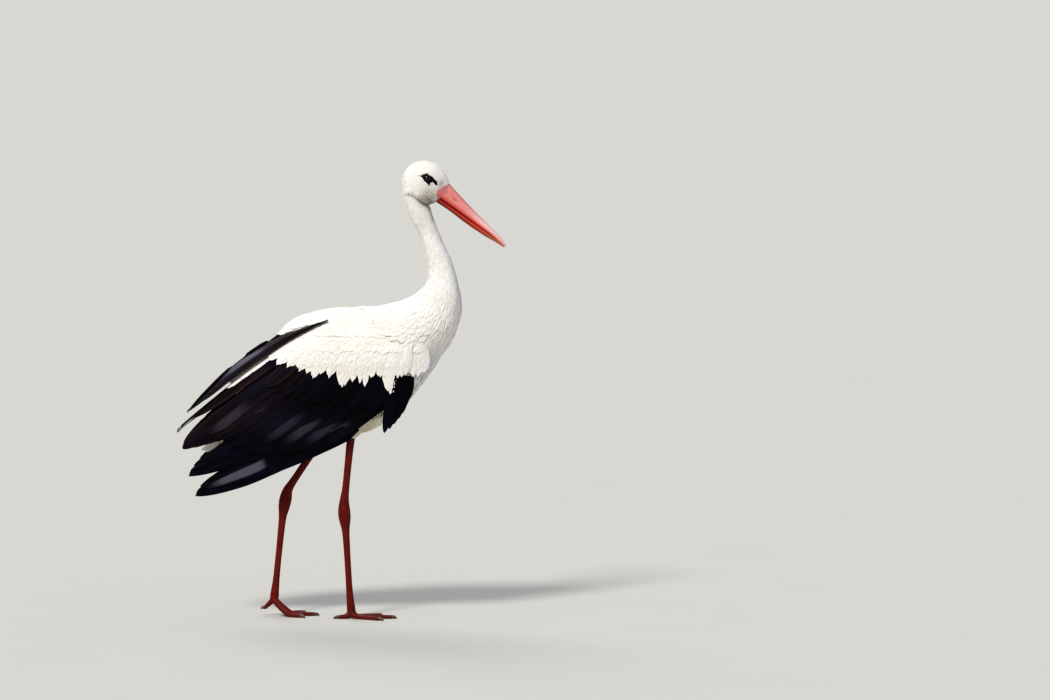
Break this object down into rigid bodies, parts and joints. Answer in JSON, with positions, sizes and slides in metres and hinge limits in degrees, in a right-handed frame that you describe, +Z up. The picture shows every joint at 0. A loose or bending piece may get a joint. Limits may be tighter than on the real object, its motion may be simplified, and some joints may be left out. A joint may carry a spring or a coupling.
{
  "type": "white stork",
  "caption": "Life-size still model of a walking white stork: white body, black wing feathers, long red bill and long red legs, wings loosely folded.",
  "frame": {"origin": "on the floor, below the middle of the bird's outline from bill tip to wing tips, in its middle plane", "axes": "+X forward along the bird's line of travel, +Y to the bird's left, +Z up"},
  "size_m": [0.649, 0.2078, 0.9175],
  "materials": {
    "white_feather": "soft white plumage, faintly cream, matt",
    "black_feather": "black flight feathers with a faint purple-green gloss and brown worn edges",
    "bill": "smooth satin red horn, paler at the tip",
    "leg_skin": "dull deep red scaled skin",
    "claw": "dark brown horn",
    "eye": "wet, very dark brown"
  },
  "bodies": {
    "root": {"head": "white_feather", "bill_upper": "bill", "bill_lower": "bill", "eye_right": "eye", "eye_left": "eye", "neck_upper": "white_feather", "neck_lower": "white_feather", "trunk": "white_feather", "tail": "white_feather", "thigh_right": "white_feather", "tibia_right": "leg_skin", "tarsus_right": "leg_skin", "foot_right": "leg_skin", "claw_inner_right": "claw", "claw_middle_right": "claw", "claw_outer_right": "claw", "claw_hind_right": "claw", "scapulars_right": "white_feather", "coverts_right": "white_feather", "tertials_right": "black_feather", "secondaries_right": "black_feather", "primaries_right": "black_feather", "alula_right": "black_feather", "thigh_left": "white_feather", "tibia_left": "leg_skin", "tarsus_left": "leg_skin", "foot_left": "leg_skin", "claw_inner_left": "claw", "claw_middle_left": "claw", "claw_outer_left": "claw", "claw_hind_left": "claw", "scapulars_left": "white_feather", "coverts_left": "white_feather", "tertials_left": "black_feather", "secondaries_left": "black_feather", "primaries_left": "black_feather", "alula_left": "black_feather"}
  },
  "joints": []
}
